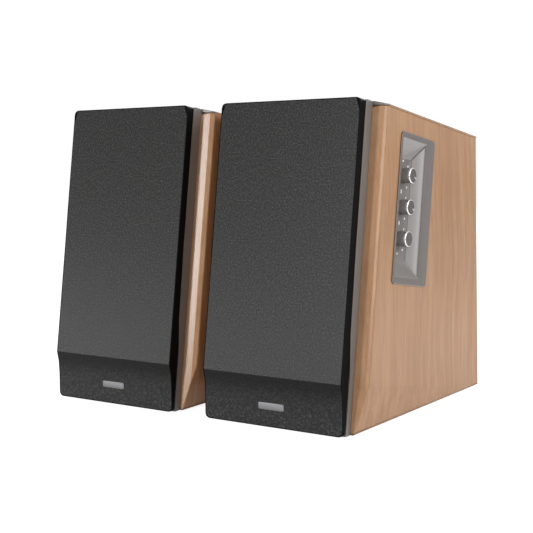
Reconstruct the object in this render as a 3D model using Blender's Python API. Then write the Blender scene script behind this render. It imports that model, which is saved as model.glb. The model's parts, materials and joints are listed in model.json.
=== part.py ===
# Pair of two-way desktop speakers with pull-off grilles and a recessed control panel.
# Lengths are written in millimetres and angles in degrees; meshes are scaled to metres at the end.
# Speaker frame: x to the right, y from front to back, z up, with y = 0 at the grille's crease.
# Front frame: x, w into the cabinet and u up along the front, which leans back by TILT.

import math

import bmesh
import bpy
from mathutils import Vector

MM = 0.001

# Driving dimensions of one speaker
WIDTH = 154.0
HEIGHT = 254.0
DEPTH = 214.0
TILT = math.radians(10.0)
CREASE_Z = 42.0
BOTTOM_Z = 1.6
SPACING = 165.0
GAP = 0.3
OVERSHOOT = 5.0

# Grille and baffle, as widths in x and layers in w
GRILLE_WIDTH = 130.0
GRILLE_BACK = 10.5
GRILLE_CORNER = 4.0
CHIN_BOTTOM_Z = 1.6
CHIN_COVE = ((1.5, 33.0), (1.7, 22.0), (0.9, CHIN_BOTTOM_Z))
CLOTH = 0.5
RIM = 0.5
FRAME_WALL = 2.4
FRAME_SIDE = 4.5
HOLLOW_CORNER = 14.0
PEG_RADIUS = 2.8
PEG_REACH = (9.0, 17.0)
PEG_SIDES = 12
PEG_X = 57.0
PEG_U = (207.0, -10.0)
BAFFLE_WIDTH = 131.0
BAFFLE_CORNER = 1.0
BAFFLE_FRONT = 10.8
BAFFLE_BACK = 25.8
LATTICE = (4, 6)
LATTICE_BAR = 4.0
LATTICE_LOW = 12.0

# Cabinet boards
SIDE_INNER_X = 66.0
SIDE_FRONT = 17.3
BEVEL_DEPTH = 3.0
ARRIS_CUT = (3.0, 1.8)
ARRIS = 0.8
TOP_DROP = 2.0
TOP_CHAMFER = 2.0
LIP = 1.0
BOARD = 10.0
FACET_FRONT = (23.0, 38.0)
FACET_REAR = (206.0, 1.6)
FACET_INSET = 8.5
BACK_Y = (203.0, 212.5)
FOOT_X = 56.0
FOOT_Y = ((20.0, 32.0), (185.0, 197.0))

# Drivers and port
SEGMENTS = 24
WOOFER_U = 72.0
TWEETER_U = 168.0
PORT_Z = 186.0
PORT_RADIUS = 15.0

# Control recess in the right speaker's outer side, as centres and half sizes in w and u
FLANGE_AT = (72.0, 137.4)
FLANGE_HALF = (28.25, 59.2)
FLANGE_CORNER = 3.5
RECESS_AT = (65.9, 137.75)
MOUTH_HALF = (19.8, 54.25)
FLOOR_HALF = (13.8, 41.0)
RECESS_CORNER = 1.2
NECK_WALL = 0.7
FLOOR_X = 68.2
FLANGE_X = (77.3, 78.2)
KNOB_AT = (66.5, 139.5)
KNOB_PITCH = 25.0
KNOB_RADIUS = 6.25
KNOB_X = (69.2, 77.9)
SHAFT_RADIUS = 2.9
BORE = 0.45
POINTER_CLOCK = math.radians(-30.0)

# Rear fittings, places in x and z
AMP_PLATE = ((-46.0, 24.0), (46.0, 156.0))
AMP_CUT = ((-40.0, 30.0), (40.0, 150.0))
PLATE_Y = (212.8, 214.0)
INLET_AT = (-22.0, 44.0)
SWITCH_AT = (22.0, 44.0)
ROCKER_PIVOT_Y = 212.0
ROCKER_HALF = 4.6
ROCKER_TILT = math.radians(12.0)
JACKS_AT = (0.0, 122.0)
LINK_AT = (0.0, 84.0)
LINK_HOLE = 9.4
JACK_REACH = 222.0
LEFT_PANEL = ((-26.0, 62.0), (26.0, 106.0))
LEFT_CUT = ((-18.0, 68.0), (18.0, 100.0))

# The pair's origin is the middle of its footprint, on the surface that it stands on
RIGHT_X = (SPACING - (FLANGE_X[1] - WIDTH / 2)) / 2
LEFT_X = RIGHT_X - SPACING
ORIGIN_Y = JACK_REACH / 2
SIN = math.sin(TILT)
COS = math.cos(TILT)
U_TOP = (HEIGHT - CREASE_Z) / COS


def clear_scene():
    for obj in list(bpy.data.objects):
        bpy.data.objects.remove(obj, do_unlink=True)


def material(name, color, roughness, metallic=0.0):
    made = bpy.data.materials.new(name)
    made.use_nodes = True
    shader = made.node_tree.nodes["Principled BSDF"]
    shader.inputs["Base Color"].default_value = (*color, 1.0)
    shader.inputs["Roughness"].default_value = roughness
    shader.inputs["Metallic"].default_value = metallic
    return made


def empty(name, parent=None, location=(0, 0, 0), turn_x=0.0):
    made = bpy.data.objects.new(name, None)
    bpy.context.collection.objects.link(made)
    made.parent = parent
    made.location = Vector(location) * MM
    made.rotation_euler = (turn_x, 0, 0)
    return made


def node(name, bm, parent, finish=None, location=(0, 0, 0)):
    """Make an object from a mesh that is written in millimetres."""
    bmesh.ops.recalc_face_normals(bm, faces=bm.faces)
    bmesh.ops.scale(bm, vec=(MM, MM, MM), verts=bm.verts)
    mesh = bpy.data.meshes.new(name)
    bm.to_mesh(mesh)
    bm.free()
    mesh.shade_smooth()
    mesh.set_sharp_from_angle(angle=math.radians(35))
    if finish is not None:
        mesh.materials.append(finish)
    made = bpy.data.objects.new(name, mesh)
    bpy.context.collection.objects.link(made)
    made.parent = parent
    made.location = Vector(location) * MM
    return made


def combine(target, bm, parent, operation="DIFFERENCE", location=(0, 0, 0)):
    """Cut a shape out of an object, or join it on, with a hidden helper object."""
    helper = node(target.name + "_helper", bm, parent, location=location)
    helper.display_type = "WIRE"
    helper.hide_render = True
    change = target.modifiers.new(operation.lower(), "BOOLEAN")
    change.operation = operation
    change.solver = "EXACT"
    change.object = helper


PLACE = {
    "x": lambda along, p: (along, p[0], p[1]),
    "y": lambda along, p: (p[0], along, p[1]),
    "z": lambda along, p: (p[0], p[1], along),
}


def loft(loops):
    """Skin a row of equal loops and cap both ends."""
    bm = bmesh.new()
    rings = [[bm.verts.new(p) for p in loop] for loop in loops]
    bm.faces.new(rings[0])
    bm.faces.new(rings[-1])
    for a, b in zip(rings, rings[1:]):
        for i in range(len(a)):
            j = (i + 1) % len(a)
            bm.faces.new((a[i], a[j], b[j], b[i]))
    return bm


def prism(axis, outline, low, high):
    return loft([[PLACE[axis](along, p) for p in outline] for along in (low, high)])


def box(low, high):
    outline = ((low[1], low[2]), (high[1], low[2]), (high[1], high[2]), (low[1], high[2]))
    return prism("x", outline, low[0], high[0])


def lathe(axis, profile, segments=SEGMENTS):
    """Turn a closed profile of (radius, along) points round an axis; radius 0 makes a pole."""
    bm = bmesh.new()
    rings = []
    for radius, along in profile:
        count = segments if radius > 0 else 1
        turns = [2 * math.pi * (k + 0.5) / segments for k in range(count)]
        points = [(radius * math.cos(t), radius * math.sin(t)) for t in turns]
        rings.append([bm.verts.new(PLACE[axis](along, p)) for p in points])
    pairs = list(zip(rings, rings[1:] + rings[:1]))
    for a, b in pairs:
        if len(a) == 1 and len(b) == 1:
            continue
        for i in range(segments):
            j = (i + 1) % segments
            corners = [a[i % len(a)], a[j % len(a)], b[j % len(b)], b[i % len(b)]]
            bm.faces.new(list(dict.fromkeys(corners)))
    return bm


def rounded_rectangle(centre, half, radius, steps=3):
    points = []
    for corner, (sx, sy) in enumerate(((1, 1), (-1, 1), (-1, -1), (1, -1))):
        cx = centre[0] + sx * (half[0] - radius)
        cy = centre[1] + sy * (half[1] - radius)
        for k in range(steps + 1):
            turn = math.pi / 2 * (corner + k / steps)
            points.append((cx + radius * math.cos(turn), cy + radius * math.sin(turn)))
    return points


def slice_away(bm, point, normal):
    """Remove what lies on the normal's side of a plane and close the cut."""
    geometry = bm.verts[:] + bm.edges[:] + bm.faces[:]
    bmesh.ops.bisect_plane(bm, geom=geometry, plane_co=point, plane_no=normal, clear_outer=True)
    rim = [e for e in bm.edges if e.is_boundary]
    bmesh.ops.holes_fill(bm, edges=rim, sides=0)


def round_edges(bm, radius, segments, wanted):
    edges = [e for e in bm.edges if wanted(e)]
    bmesh.ops.bevel(bm, geom=edges, offset=radius, segments=segments, affect="EDGES", profile=0.5)


def front_point(y, z):
    """Speaker-frame (y, z) as front-frame (w, u)."""
    return (y * COS - (z - CREASE_Z) * SIN, y * SIN + (z - CREASE_Z) * COS)


def on_layer(w, z):
    """The u of a height z on the layer w of the front frame."""
    return (z - CREASE_Z + w * SIN) / COS


# Wood, grey boards, grille and electronics finishes
def make_finishes():
    return {
        "wood": material("wood_veneer", (0.42, 0.25, 0.13), 0.45),
        "grey": material("grey_plastic", (0.20, 0.19, 0.185), 0.5),
        "board": material("black_board", (0.03, 0.03, 0.03), 0.6),
        "frame": material("black_plastic", (0.02, 0.02, 0.02), 0.5),
        "cloth": material("charcoal_cloth", (0.045, 0.047, 0.045), 0.95),
        "steel": material("black_steel", (0.03, 0.03, 0.032), 0.45, 0.6),
        "magnet": material("zinc_plate", (0.45, 0.45, 0.46), 0.35, 1.0),
        "paper": material("black_paper", (0.035, 0.035, 0.037), 0.85),
        "rubber": material("rubber", (0.02, 0.02, 0.02), 0.8),
        "copper": material("copper", (0.6, 0.28, 0.14), 0.35, 1.0),
        "silk": material("silk_dome", (0.03, 0.03, 0.035), 0.55),
        "chrome": material("chrome", (0.75, 0.75, 0.77), 0.15, 1.0),
        "circuit": material("circuit_board", (0.02, 0.10, 0.05), 0.5),
    }


def front_line(trim=0.0):
    """The grille's front from its chin up over the crease to the top, shortened at both ends."""
    points = [Vector(front_point(y, z)) for y, z in reversed(CHIN_COVE)]
    points += [Vector((0.0, 0.0)), Vector((0.0, U_TOP))]
    low = (points[1] - points[0]).normalized()
    points[0] += low * trim
    points[-1].y -= trim
    return points


def shift_line(points, distance):
    """Move an open line of (w, u) points sideways, into the cabinet."""
    ways = [(b - a).normalized() for a, b in zip(points, points[1:])]
    inwards = [Vector((way.y, -way.x)) for way in ways]
    moved = []
    for point, a, b in zip(points, inwards[:1] + inwards, inwards + inwards[-1:]):
        middle = (a + b).normalized()
        moved.append(point + middle * (distance / middle.dot(a)))
    return moved


def round_corners(bm, ends, radius):
    """Round the edges that run between two (w, u) points."""

    def is_corner(edge):
        a, b = (v.co.yz for v in edge.verts)
        misses = [min((a - p).length + (b - q).length, (a - q).length + (b - p).length) for p, q in ends]
        return min(misses) < 0.01

    round_edges(bm, radius, 3, is_corner)


def front_band(trim, outside, inside):
    """A layer along the grille's front, between two distances from it, with rounded corners."""
    line = front_line(trim)
    outer, inner = shift_line(line, outside), shift_line(line, inside)
    half = GRILLE_WIDTH / 2 - trim
    bm = prism("x", outer + inner[::-1], -half, half)
    round_corners(bm, [(outer[0], inner[0]), (outer[-1], inner[-1])], GRILLE_CORNER - trim)
    return bm


def grille_block():
    """The grille frame's outer shape."""
    line = front_line()
    back = GRILLE_BACK - GAP
    top = Vector((back, U_TOP))
    low = Vector((back, on_layer(back, CHIN_BOTTOM_Z)))
    bm = prism("x", line + [top, low], -GRILLE_WIDTH / 2, GRILLE_WIDTH / 2)
    round_corners(bm, [(line[-1], top), (low, line[0])], GRILLE_CORNER)
    return bm


def build_grille(side, front, finish):
    cloth = front_band(RIM + GAP, 0.0, CLOTH)
    node(side + "_grille_cloth", cloth, front, finish["cloth"])

    frame = node(side + "_grille_frame", grille_block(), front, finish["frame"])
    pocket = CLOTH + GAP
    combine(frame, front_band(RIM, -OVERSHOOT, pocket), front)
    wall = pocket + FRAME_WALL
    reach = GRILLE_WIDTH / 2 - FRAME_SIDE
    low, high = FRAME_WALL, U_TOP - FRAME_SIDE
    hollow = (
        (-reach, low),
        (reach, low),
        (reach, high - HOLLOW_CORNER),
        (reach - HOLLOW_CORNER, high),
        (HOLLOW_CORNER - reach, high),
        (-reach, high - HOLLOW_CORNER),
    )
    combine(frame, prism("y", hollow, wall, GRILLE_BACK + OVERSHOOT), front)
    columns, rows = LATTICE
    span_x = 2 * (reach - LATTICE_BAR)
    low_u, high_u = LATTICE_LOW, high - HOLLOW_CORNER
    cell_x = (span_x - (columns - 1) * LATTICE_BAR) / columns
    cell_u = (high_u - low_u - (rows - 1) * LATTICE_BAR) / rows
    windows = bmesh.new()
    for i in range(columns):
        x = -span_x / 2 + i * (cell_x + LATTICE_BAR)
        for j in range(rows):
            u = low_u + j * (cell_u + LATTICE_BAR)
            cell = box((x, -OVERSHOOT, u), (x + cell_x, wall + OVERSHOOT, u + cell_u))
            add_to(windows, cell)
    combine(frame, windows, front)
    pegs = bmesh.new()
    for x, u in peg_places():
        add_to(pegs, lathe("y", peg_profile(PEG_RADIUS, *PEG_REACH), PEG_SIDES), (x, 0, u))
    combine(frame, pegs, front, "UNION")


def add_to(target, part, offset=(0, 0, 0)):
    """Copy one working mesh into another."""
    bmesh.ops.translate(part, vec=offset, verts=part.verts)
    moved = {v: target.verts.new(v.co) for v in part.verts}
    bmesh.ops.recalc_face_normals(part, faces=part.faces)
    for face in part.faces:
        target.faces.new([moved[v] for v in face.verts])
    part.free()


def peg_places():
    return [(sx * PEG_X, u) for sx in (-1, 1) for u in PEG_U]


def peg_profile(radius, low, high):
    return ((0.0, low), (radius, low), (radius, high), (0.0, high))


def build_baffle(side, front, finish):
    outline = (
        (BAFFLE_FRONT, on_layer(BAFFLE_FRONT, BOTTOM_Z)),
        (BAFFLE_FRONT, U_TOP),
        (BAFFLE_BACK, U_TOP),
        (BAFFLE_BACK, on_layer(BAFFLE_BACK, BOTTOM_Z)),
    )
    half = BAFFLE_WIDTH / 2
    bm = prism("x", outline, -half, half)
    top = [Vector((w, U_TOP)) for w in (BAFFLE_FRONT, BAFFLE_BACK)]
    round_corners(bm, [top], BAFFLE_CORNER)
    baffle = node(side + "_front_baffle", bm, front, finish["grey"])
    reach = BAFFLE_BACK + OVERSHOOT
    start = BAFFLE_FRONT - OVERSHOOT
    woofer = ((0, start), (59.4, start), (59.4, 16.4), (49.0, 16.4), (49.0, reach), (0, reach))
    tweeter = ((0, start), (33.3, start), (33.3, 14.6), (24.0, 14.6), (24.0, reach), (0, reach))
    combine(baffle, lathe("y", woofer), front, location=(0, 0, WOOFER_U))
    combine(baffle, lathe("y", tweeter), front, location=(0, 0, TWEETER_U))
    sockets = bmesh.new()
    for x, u in peg_places():
        hole = peg_profile(PEG_RADIUS + BORE, PEG_REACH[0] - 1, PEG_REACH[1] + 1)
        add_to(sockets, lathe("y", hole, PEG_SIDES), (x, 0, u))
    combine(baffle, sockets, front)


def build_woofer(side, front, finish):
    at = (0, 0, WOOFER_U)
    basket = (
        (59.0, 12.9), (59.0, 16.0), (48.4, 16.0), (47.2, 22.0), (33.0, 46.0), (33.0, 49.0),
        (20.0, 49.0), (20.0, 46.6), (31.3, 46.6), (45.6, 21.4), (46.8, 12.9),
    )
    surround = (
        (57.5, 12.0), (49.5, 12.0), (47.5, 9.6), (44.0, 8.4), (40.5, 9.6), (38.6, 12.0),
        (38.6, 12.8), (40.9, 10.4), (44.0, 9.2), (47.1, 10.4), (49.2, 12.6), (57.5, 12.6),
    )
    cone = ((38.1, 12.4), (38.1, 13.4), (13.5, 32.5), (13.5, 31.0))
    cap = (
        (0, 22.0), (6.0, 22.8), (11.0, 25.0), (15.5, 28.4),
        (15.0, 29.0), (10.6, 25.9), (5.8, 23.7), (0, 22.9),
    )
    coil = ((12.3, 30.5), (13.1, 30.5), (13.1, 57.0), (12.3, 57.0))
    magnet = (
        (0, 49.3), (11.4, 49.3), (11.4, 63.0), (14.0, 63.0), (14.0, 49.3),
        (38.0, 49.3), (38.0, 70.0), (0, 70.0),
    )
    node(side + "_woofer_basket", lathe("y", basket), front, finish["steel"], at)
    node(side + "_woofer_surround", lathe("y", surround), front, finish["rubber"], at)
    node(side + "_woofer_cone", lathe("y", cone), front, finish["paper"], at)
    node(side + "_woofer_dust_cap", lathe("y", cap), front, finish["paper"], at)
    node(side + "_woofer_voice_coil", lathe("y", coil), front, finish["copper"], at)
    node(side + "_woofer_magnet", lathe("y", magnet), front, finish["magnet"], at)


def build_tweeter(side, front, finish):
    at = (0, 0, TWEETER_U)
    faceplate = ((33.0, 11.2), (33.0, 14.2), (13.0, 14.2), (13.0, 13.4), (21.0, 11.9))
    dome = (
        (0, 10.6), (6.5, 11.5), (10.5, 13.0), (12.3, 15.0), (12.3, 20.0),
        (11.6, 20.0), (11.6, 15.3), (9.9, 13.7), (6.2, 12.3), (0, 11.4),
    )
    magnet = (
        (0, 16.2), (10.8, 16.2), (10.8, 24.0), (13.2, 24.0), (13.2, 14.8),
        (23.4, 14.8), (23.4, 33.0), (0, 33.0),
    )
    node(side + "_tweeter_faceplate", lathe("y", faceplate), front, finish["frame"], at)
    node(side + "_tweeter_dome", lathe("y", dome), front, finish["silk"], at)
    node(side + "_tweeter_magnet", lathe("y", magnet), front, finish["magnet"], at)


def facet_plane(sign):
    """A point on the lower side facet and its outward normal, in the speaker frame."""
    upper = Vector((sign * WIDTH / 2, *FACET_FRONT))
    rear = Vector((sign * WIDTH / 2, *FACET_REAR))
    lower = Vector((sign * (WIDTH / 2 - FACET_INSET), FACET_FRONT[0], BOTTOM_Z))
    normal = (rear - upper).cross(lower - upper)
    return upper, normal if normal.x * sign > 0 else -normal


def to_front(vector):
    """Turn a speaker-frame direction into the front frame."""
    return Vector((vector.x, vector.y * COS - vector.z * SIN, vector.y * SIN + vector.z * COS))


def to_front_point(point):
    return to_front(Vector((point.x, point.y, point.z - CREASE_Z)))


def bevel_front(bm, sign):
    """Cut a side's front back towards its outer edge, and its arris off."""
    inner = Vector((sign * SIDE_INNER_X, SIDE_FRONT, 0))
    slice_away(bm, inner, Vector((sign * BEVEL_DEPTH, SIDE_INNER_X - WIDTH / 2, 0)))
    across, back = ARRIS_CUT
    run = WIDTH / 2 - across - SIDE_INNER_X
    slope = BEVEL_DEPTH / (WIDTH / 2 - SIDE_INNER_X)
    edge = inner + Vector((sign * run, run * slope, 0))
    slice_away(bm, edge, Vector((sign * back, -across, 0)))


def build_side_panel(name, sign, front, finish):
    low_z = BOTTOM_Z + LIP
    high_u = U_TOP - TOP_DROP - LIP - GAP
    rear_w = (DEPTH - high_u * SIN) / COS
    outline = (
        (SIDE_FRONT, on_layer(SIDE_FRONT, low_z)),
        (SIDE_FRONT, high_u),
        (rear_w, high_u),
        front_point(DEPTH, low_z),
    )
    bm = prism("x", outline, sign * SIDE_INNER_X, sign * WIDTH / 2)
    bevel_front(bm, sign)
    slice_away(bm, Vector((0, SIDE_FRONT, high_u - TOP_CHAMFER)), Vector((0, -1, 1)))
    point, normal = facet_plane(sign)
    slice_away(bm, to_front_point(point), to_front(normal))
    outside = sign * (SIDE_INNER_X + 1.0)

    def is_outer(edge):
        return all(v.co.x * sign > outside * sign for v in edge.verts) and edge.calc_face_angle(0) > 0.2

    round_edges(bm, ARRIS, 2, is_outer)
    return node(name, bm, front, finish["wood"])


def build_cabinet(side, speaker, front, finish):
    """The boards of one cabinet; the two side panels are returned for later cuts."""
    half = WIDTH / 2
    flat = BAFFLE_WIDTH / 2
    inner = SIDE_INNER_X - 2 * GAP
    lip_u = U_TOP - TOP_DROP - LIP
    section = (
        (-half, U_TOP - TOP_DROP), (-flat, U_TOP), (flat, U_TOP), (half, U_TOP - TOP_DROP),
        (half, lip_u), (inner, lip_u), (inner, U_TOP - BOARD), (-inner, U_TOP - BOARD),
        (-inner, lip_u), (-half, lip_u),
    )
    top = prism("y", section, SIDE_FRONT, DEPTH)
    slice_away(top, Vector((0, DEPTH * COS, DEPTH * SIN)), Vector((0, COS, SIN)))
    for sign in (1, -1):
        bevel_front(top, sign)
    top_panel = node(side + "_top_panel", top, front, finish["grey"])
    notch = box((-flat - GAP, 0, U_TOP - 30), (flat + GAP, BAFFLE_BACK + GAP, U_TOP + 10))
    combine(top_panel, notch, front)

    lip_z = BOTTOM_Z + LIP - GAP
    section = (
        (-half, BOTTOM_Z), (half, BOTTOM_Z), (half, lip_z), (inner, lip_z),
        (inner, BOTTOM_Z + BOARD), (-inner, BOTTOM_Z + BOARD), (-inner, lip_z), (-half, lip_z),
    )
    bottom = prism("y", section, 0.0, DEPTH)
    for sign in (-1, 1):
        slice_away(bottom, *facet_plane(sign))
    front_face = Vector((0, -COS, SIN))
    slice_away(bottom, -front_face * SIDE_FRONT + Vector((0, 0, CREASE_Z)), front_face)
    bottom_panel = node(side + "_bottom_panel", bottom, speaker, finish["grey"])
    notch = box((-flat - GAP, 0, -80), (flat + GAP, BAFFLE_BACK + GAP, 0))
    combine(bottom_panel, notch, front)

    high_u = U_TOP - BOARD - GAP
    outline = [(y, BOTTOM_Z + BOARD + GAP) for y in BACK_Y]
    outline += [(y, CREASE_Z + (high_u - y * SIN) / COS) for y in reversed(BACK_Y)]
    back = node(side + "_back_panel", prism("x", outline, -inner, inner), speaker, finish["board"])
    hole = peg_profile(PORT_RADIUS + 3.4, BACK_Y[0] - OVERSHOOT, BACK_Y[1] + OVERSHOOT)
    combine(back, lathe("y", hole), speaker, location=(0, 0, PORT_Z))

    rear = PLATE_Y[1]
    tube = (
        (PORT_RADIUS, 150.0), (PORT_RADIUS + 3.0, 150.0), (PORT_RADIUS + 3.0, PLATE_Y[0]),
        (25.0, PLATE_Y[0]), (25.0, rear - 0.4), (PORT_RADIUS + 3.5, rear), (PORT_RADIUS, rear - 3.0),
    )
    node(side + "_port_tube", lathe("y", tube), speaker, finish["frame"], (0, 0, PORT_Z))

    for place, (low_y, high_y) in zip(("front", "rear"), FOOT_Y):
        foot = box((-FOOT_X, low_y, 0), (FOOT_X, high_y, BOTTOM_Z - GAP))
        node(f"{side}_{place}_foot", foot, speaker, finish["rubber"])
    left = build_side_panel(side + "_left_side_panel", -1, front, finish)
    right = build_side_panel(side + "_right_side_panel", 1, front, finish)
    return left, right, back


def build_controls(panel, front, finish):
    def loop(x, centre, half, corner):
        return [(x, *p) for p in rounded_rectangle(centre, half, corner)]

    def grown(half, distance):
        return (half[0] + distance, half[1] + distance)

    low_x, high_x = FLANGE_X
    cut = rounded_rectangle(RECESS_AT, grown(MOUTH_HALF, 2 * NECK_WALL), RECESS_CORNER)
    combine(panel, prism("x", cut, SIDE_INNER_X - OVERSHOOT, high_x + OVERSHOOT), front)
    loops = (
        loop(FLOOR_X - 2.0, RECESS_AT, grown(FLOOR_HALF, NECK_WALL), RECESS_CORNER),
        loop(low_x, RECESS_AT, grown(MOUTH_HALF, NECK_WALL), RECESS_CORNER),
        loop(low_x, FLANGE_AT, FLANGE_HALF, FLANGE_CORNER),
        loop(high_x, FLANGE_AT, FLANGE_HALF, FLANGE_CORNER),
        loop(high_x, RECESS_AT, MOUTH_HALF, RECESS_CORNER),
        loop(FLOOR_X, RECESS_AT, FLOOR_HALF, RECESS_CORNER),
    )
    bezel = node("right_control_bezel", loft(loops), front, finish["grey"])

    board_x = 50.0
    pot_x = (board_x + 2.2, FLOOR_X - 2.4)
    knob_w, knob_u = KNOB_AT
    half_w, half_u = 11.0, 40.0
    low = (board_x, knob_w - half_w, knob_u - half_u)
    high = (board_x + 1.6, knob_w + half_w, knob_u + half_u)
    node("right_control_board", box(low, high), front, finish["circuit"])
    holes = bmesh.new()
    names = (("volume", "encoder"), ("bass", "potentiometer"), ("treble", "potentiometer"))
    for k, (name, part) in enumerate(names):
        at = (0, knob_w, knob_u + (k - 1) * KNOB_PITCH)
        hole = peg_profile(SHAFT_RADIUS + BORE, FLOOR_X - OVERSHOOT, FLOOR_X + OVERSHOOT)
        add_to(holes, lathe("x", hole, 16), at)
        size = 8.0 if part == "potentiometer" else 7.0
        pot = node(
            f"right_{name}_{part}", box((pot_x[0], -size, -size), (pot_x[1], size, size)),
            front, finish["steel"], at,
        )
        bore = peg_profile(SHAFT_RADIUS + BORE, pot_x[0] + 1.0, pot_x[1] + OVERSHOOT)
        combine(pot, lathe("x", bore, 16), front, location=at)
        profile = (
            (0, pot_x[0] + 2.0), (SHAFT_RADIUS, pot_x[0] + 2.0), (SHAFT_RADIUS, KNOB_X[0]),
            (KNOB_RADIUS, KNOB_X[0]), (KNOB_RADIUS, KNOB_X[1] - 0.7), (KNOB_RADIUS - 0.7, KNOB_X[1]),
            (0, KNOB_X[1]),
        )
        knob = node(f"right_{name}_knob", lathe("x", profile), front, finish["chrome"], at)
        mark = box((KNOB_X[1] - 1.0, 3.0, -0.6), (KNOB_X[1] + 1.0, KNOB_RADIUS + 1, 0.6))
        turn_about_x(mark, POINTER_CLOCK)
        combine(knob, mark, front, location=at)
    combine(bezel, holes, front)


def turn_about_x(bm, angle):
    for vert in bm.verts:
        y, z = vert.co.y, vert.co.z
        vert.co.y = y * math.cos(angle) - z * math.sin(angle)
        vert.co.z = y * math.sin(angle) + z * math.cos(angle)


def plate(corners, low_y, high_y):
    (x0, z0), (x1, z1) = corners
    return box((x0, low_y, z0), (x1, high_y, z1))


def around(centre, half_x, half_z, low_y, high_y):
    x, z = centre
    return box((x - half_x, low_y, z - half_z), (x + half_x, high_y, z + half_z))


def link_socket(low_y):
    """A round socket: a closed barrel with a wide mouth at the rear."""
    rear = PLATE_Y[1]
    return (
        (0, low_y), (9.0, low_y), (9.0, rear - 0.2), (6.6, rear - 0.2), (6.6, rear - 9.0), (0, rear - 9.0),
    )


def build_amplifier(back, speaker, finish):
    combine(back, plate(AMP_CUT, BACK_Y[0] - OVERSHOOT, BACK_Y[1] + OVERSHOOT), speaker)
    amp = node("right_amp_plate", plate(AMP_PLATE, *PLATE_Y), speaker, finish["steel"])
    thru = (PLATE_Y[0] - OVERSHOOT, PLATE_Y[1] + OVERSHOOT)
    combine(amp, around(INLET_AT, 13.3, 7.8, *thru), speaker)
    combine(amp, around(SWITCH_AT, 10.8, 7.8, *thru), speaker)
    combine(amp, around(JACKS_AT, 26.3, 16.3, *thru), speaker)
    combine(amp, lathe("y", peg_profile(LINK_HOLE, *thru)), speaker, location=(LINK_AT[0], 0, LINK_AT[1]))

    inlet = node("right_power_inlet", around(INLET_AT, 13.0, 7.5, 192.0, 213.8), speaker, finish["frame"])
    combine(inlet, around(INLET_AT, 10.0, 4.8, 199.0, thru[1]), speaker)

    name = "right_power_switch_housing"
    housing = node(name, around(SWITCH_AT, 10.5, 7.5, 196.0, 213.8), speaker, finish["frame"])
    combine(housing, around(SWITCH_AT, 8.7, 5.6, 202.0, thru[1]), speaker)
    pivot = (SWITCH_AT[0], ROCKER_PIVOT_Y, SWITCH_AT[1])
    raised = ROCKER_HALF * math.tan(ROCKER_TILT)
    level = (
        (raised, -ROCKER_HALF), (0.0, 0.0), (raised, ROCKER_HALF),
        (-1.2, ROCKER_HALF), (-6.0, 1.8), (-6.0, -1.8), (-1.2, -ROCKER_HALF),
    )
    bm = prism("x", level, -8.2, 8.2)
    turn_about_x(bm, -ROCKER_TILT)
    node("right_power_rocker", bm, speaker, finish["frame"], pivot)

    jacks = node("right_line_jacks", around(JACKS_AT, 26.0, 16.0, 198.0, 214.6), speaker, finish["frame"])
    barrels = bmesh.new()
    for sx in (-1, 1):
        for sz in (-1, 1):
            barrel = (
                (1.7, 206.0), (4.2, 206.0), (4.2, JACK_REACH), (1.7, JACK_REACH),
            )
            add_to(barrels, lathe("y", barrel, 16), (sx * 11.0, 0, JACKS_AT[1] + sz * 8.0))
    combine(jacks, barrels, speaker, "UNION")

    place = (LINK_AT[0], 0, LINK_AT[1])
    node("right_link_socket", lathe("y", link_socket(196.0)), speaker, finish["frame"], place)

    board = box((-36.0, 188.0, 33.0), (36.0, 189.6, 147.0))
    node("right_amp_board", board, speaker, finish["circuit"])
    core = box((-25.0, 118.0, BOTTOM_Z + BOARD + GAP), (25.0, 160.0, 52.0))
    node("right_transformer", core, speaker, finish["magnet"])


def build_link_panel(back, speaker, finish):
    combine(back, plate(LEFT_CUT, BACK_Y[0] - OVERSHOOT, BACK_Y[1] + OVERSHOOT), speaker)
    panel = node("left_link_panel", plate(LEFT_PANEL, *PLATE_Y), speaker, finish["frame"])
    centre = (LINK_AT[0], 0, LINK_AT[1])
    hole = peg_profile(LINK_HOLE, PLATE_Y[0] - OVERSHOOT, PLATE_Y[1] + OVERSHOOT)
    combine(panel, lathe("y", hole), speaker, location=centre)
    node("left_link_socket", lathe("y", link_socket(198.0)), speaker, finish["frame"], centre)
    low = BOTTOM_Z + BOARD + GAP
    node("left_crossover_board", box((-34, 120, low), (34, 170, low + 1.6)), speaker, finish["circuit"])


def main():
    clear_scene()
    finish = make_finishes()
    for side, x in (("right", RIGHT_X), ("left", LEFT_X)):
        speaker = empty(side + "_speaker", location=(x, -ORIGIN_Y, 0))
        front = empty(side + "_front", speaker, (0, 0, CREASE_Z), -TILT)
        build_grille(side, front, finish)
        build_baffle(side, front, finish)
        build_woofer(side, front, finish)
        build_tweeter(side, front, finish)
        left_panel, right_panel, back = build_cabinet(side, speaker, front, finish)
        if side == "right":
            build_controls(right_panel, front, finish)
            build_amplifier(back, speaker, finish)
        else:
            build_link_panel(back, speaker, finish)


main()
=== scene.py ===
# Looks of a pair of desktop speakers: veneer, grille cloth, moulded plastic and small fittings.
# Lengths are in millimetres and are scaled to metres as each mesh is made.
# Speaker frame: x to the right, y from front to back, z up, with y = 0 at the grille's crease.
# Front frame: x, w into the cabinet and u up along the front, which leans back by TILT.
import json
import math

import bmesh
import bpy
from mathutils import Matrix, Vector


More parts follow.
